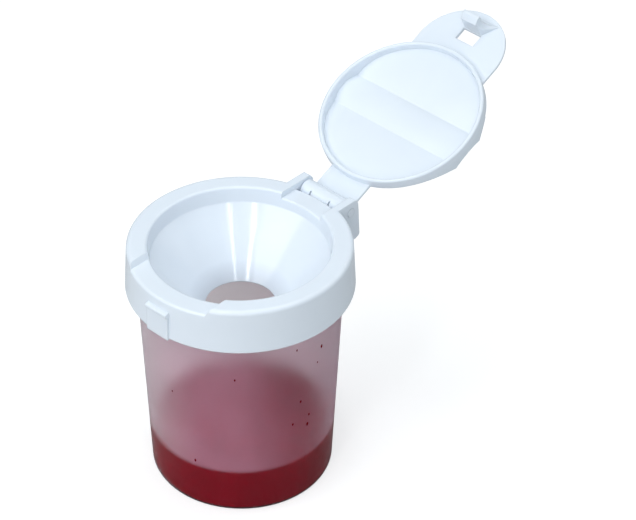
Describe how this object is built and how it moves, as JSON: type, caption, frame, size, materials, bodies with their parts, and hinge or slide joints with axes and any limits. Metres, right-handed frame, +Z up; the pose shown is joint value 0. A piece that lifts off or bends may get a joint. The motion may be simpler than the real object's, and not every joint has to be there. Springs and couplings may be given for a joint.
{
  "type": "paint cup",
  "caption": "Tapered paint cup with a screw-on funnel lid that stops spills, and a hinged flip cap that plugs the funnel and snaps under a latch lug.",
  "frame": {"origin": "centre of the cup's base, on the surface that it stands on", "axes": "+Z up along the cup's axis, +Y towards the lid's hinge, -Y towards its latch lug, +X along the hinge axis"},
  "size_m": [0.0776, 0.1645, 0.1289],
  "materials": {
    "cup_plastic": "translucent natural polypropylene, frosted",
    "paint": "wet red paint",
    "lid_plastic": "white polypropylene, glossy inside the funnel",
    "cap_plastic": "white polypropylene, satin"
  },
  "bodies": {
    "cup": {"cup": "cup_plastic", "paint": "paint"},
    "lid": {"lid": "lid_plastic"},
    "cap": {"flip_cap": "cap_plastic"}
  },
  "joints": [
    {"name": "lid_lift", "type": "slide", "parent": "cup", "child": "lid", "axis": [0, 0, 1], "range_m": [0, 0.032]},
    {"name": "cap_hinge", "type": "hinge", "parent": "lid", "child": "cap", "pos_m": [0, 0.0416, 0.08825], "axis": [-1, 0, 0], "range_deg": [-154.94, 0]}
  ]
}
